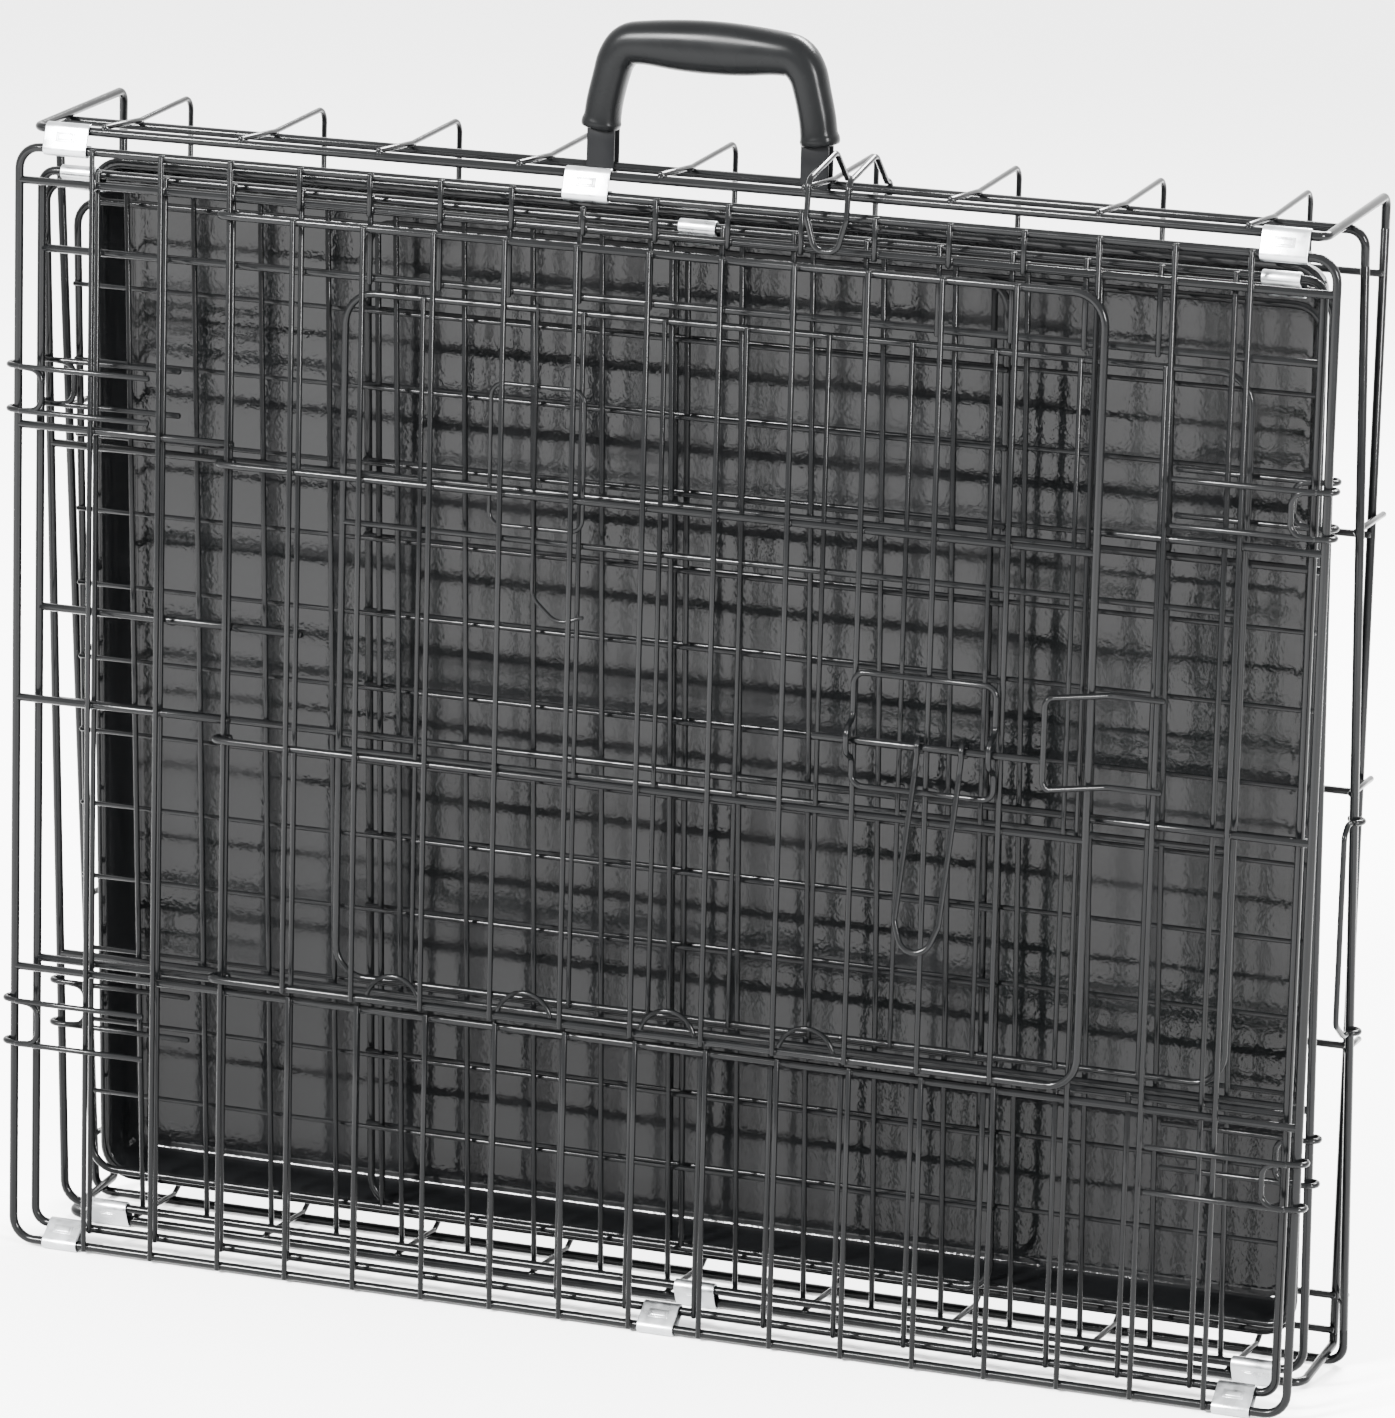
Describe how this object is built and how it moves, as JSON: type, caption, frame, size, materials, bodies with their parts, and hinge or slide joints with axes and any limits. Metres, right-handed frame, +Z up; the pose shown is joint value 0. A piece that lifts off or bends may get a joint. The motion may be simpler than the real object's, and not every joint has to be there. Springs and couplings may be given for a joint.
{
  "type": "folding dog crate",
  "caption": "Folding wire dog crate, folded flat and standing on edge like a suitcase, with a carry handle, a hinged side door with slide bolt, and a tray inside.",
  "frame": {"origin": "on the ground under the middle of the front side panel's bottom rod", "axes": "+X along the crate to the right as seen from the front, +Y from the front side panel back to the floor grid, +Z up"},
  "size_m": [0.6165, 0.1305, 0.58],
  "materials": {
    "steel": "semi-gloss black coating",
    "zinc": "bright zinc plate",
    "pan": "glossy, finely pebbled",
    "handle": "satin"
  },
  "bodies": {
    "floor_tray": {"floor_grid": "steel", "lip_top": "steel", "lip_bottom": "steel", "brace_left": "steel", "brace_right": "steel", "end_panel_left": "steel", "end_panel_right": "steel", "clip_lip_rear_left": "zinc", "clip_lip_rear_middle": "zinc", "clip_lip_rear_right": "zinc"},
    "pan": {"pan": "pan"},
    "rear_side": {"side_panel_rear": "steel", "hook_rear_upper_left": "steel", "hook_rear_lower_left": "steel", "hook_rear_upper_right": "steel", "hook_rear_lower_right": "steel", "clip_top_rear_left": "zinc", "clip_top_rear_middle": "zinc", "clip_top_rear_right": "zinc"},
    "top": {"top_panel": "steel", "top_door": "steel", "top_door_guide": "steel", "clip_front_top_left": "zinc", "clip_front_top_middle": "zinc", "clip_front_top_right": "zinc"},
    "front_side": {"side_panel_front": "steel", "bolt_keeper": "steel", "hook_front_upper_left": "steel", "hook_front_lower_left": "steel", "hook_front_upper_right": "steel", "hook_front_lower_right": "steel", "clip_lip_front_left": "zinc", "clip_lip_front_middle": "zinc", "clip_lip_front_right": "zinc"},
    "side_door": {"side_door": "steel"},
    "door_bolt": {"door_bolt": "steel"},
    "door_paddle": {"door_paddle": "steel"},
    "top_door_bolt": {"top_door_bolt": "steel"},
    "carry_handle": {"carry_handle": "handle", "handle_strap_left": "steel", "handle_strap_right": "steel"},
    "carry_catch": {"carry_catch": "steel"},
    "pan_latch": {"pan_latch": "steel"}
  },
  "joints": [
    {"name": "rear_side_fold", "type": "hinge", "parent": "floor_tray", "child": "rear_side", "pos_m": [0, 0.043, 0.00965], "axis": [1, 0, 0], "range_deg": [0, 86.6]},
    {"name": "top_fold", "type": "hinge", "parent": "rear_side", "child": "top", "pos_m": [0, 0.0075, 0.49565], "axis": [1, 0, 0], "range_deg": [-258.44, 0.2]},
    {"name": "front_side_fold", "type": "hinge", "parent": "top", "child": "front_side", "pos_m": [0, 0, 0.00315], "axis": [1, 0, 0], "range_deg": [-0.2, 84.83]},
    {"name": "side_door_swing", "type": "hinge", "parent": "front_side", "child": "side_door", "pos_m": [-0.1998, -0.0027, 0.31165], "axis": [0, 0, -1], "range_deg": [0, 150]},
    {"name": "door_bolt_slide", "type": "slide", "parent": "side_door", "child": "door_bolt", "axis": [1, 0, 0], "range_m": [-0.018, 0.009]},
    {"name": "door_paddle_lift", "type": "hinge", "parent": "door_bolt", "child": "door_paddle", "pos_m": [0.142, -0.0162, 0.28365], "axis": [-1, 0, 0], "range_deg": [0, 90]},
    {"name": "top_door_bolt_slide", "type": "slide", "parent": "top", "child": "top_door_bolt", "axis": [0, 0, 1], "range_m": [0, 0.012]},
    {"name": "carry_handle_tilt", "type": "hinge", "parent": "floor_tray", "child": "carry_handle", "pos_m": [0, 0.04, 0.51325], "axis": [1, 0, 0], "range_deg": [-52, 52]},
    {"name": "carry_catch_lift", "type": "hinge", "parent": "floor_tray", "child": "carry_catch", "pos_m": [0.081, 0.04, 0.51325], "axis": [-1, 0, 0], "range_deg": [0, 95]},
    {"name": "pan_latch_swing", "type": "hinge", "parent": "floor_tray", "child": "pan_latch", "pos_m": [0.303, 0.06935, 0.20065], "axis": [0, -0.0935, 0.9956], "range_deg": [0, 90]},
    {"name": "pan_slide", "type": "slide", "parent": "floor_tray", "child": "pan", "axis": [1, 0, 0], "range_m": [0, 0.01]}
  ],
  "couplings": [
    {"joint": "top_fold", "follows": "rear_side_fold", "ratio": -2.982},
    {"joint": "front_side_fold", "follows": "rear_side_fold", "ratio": 0.97729}
  ]
}
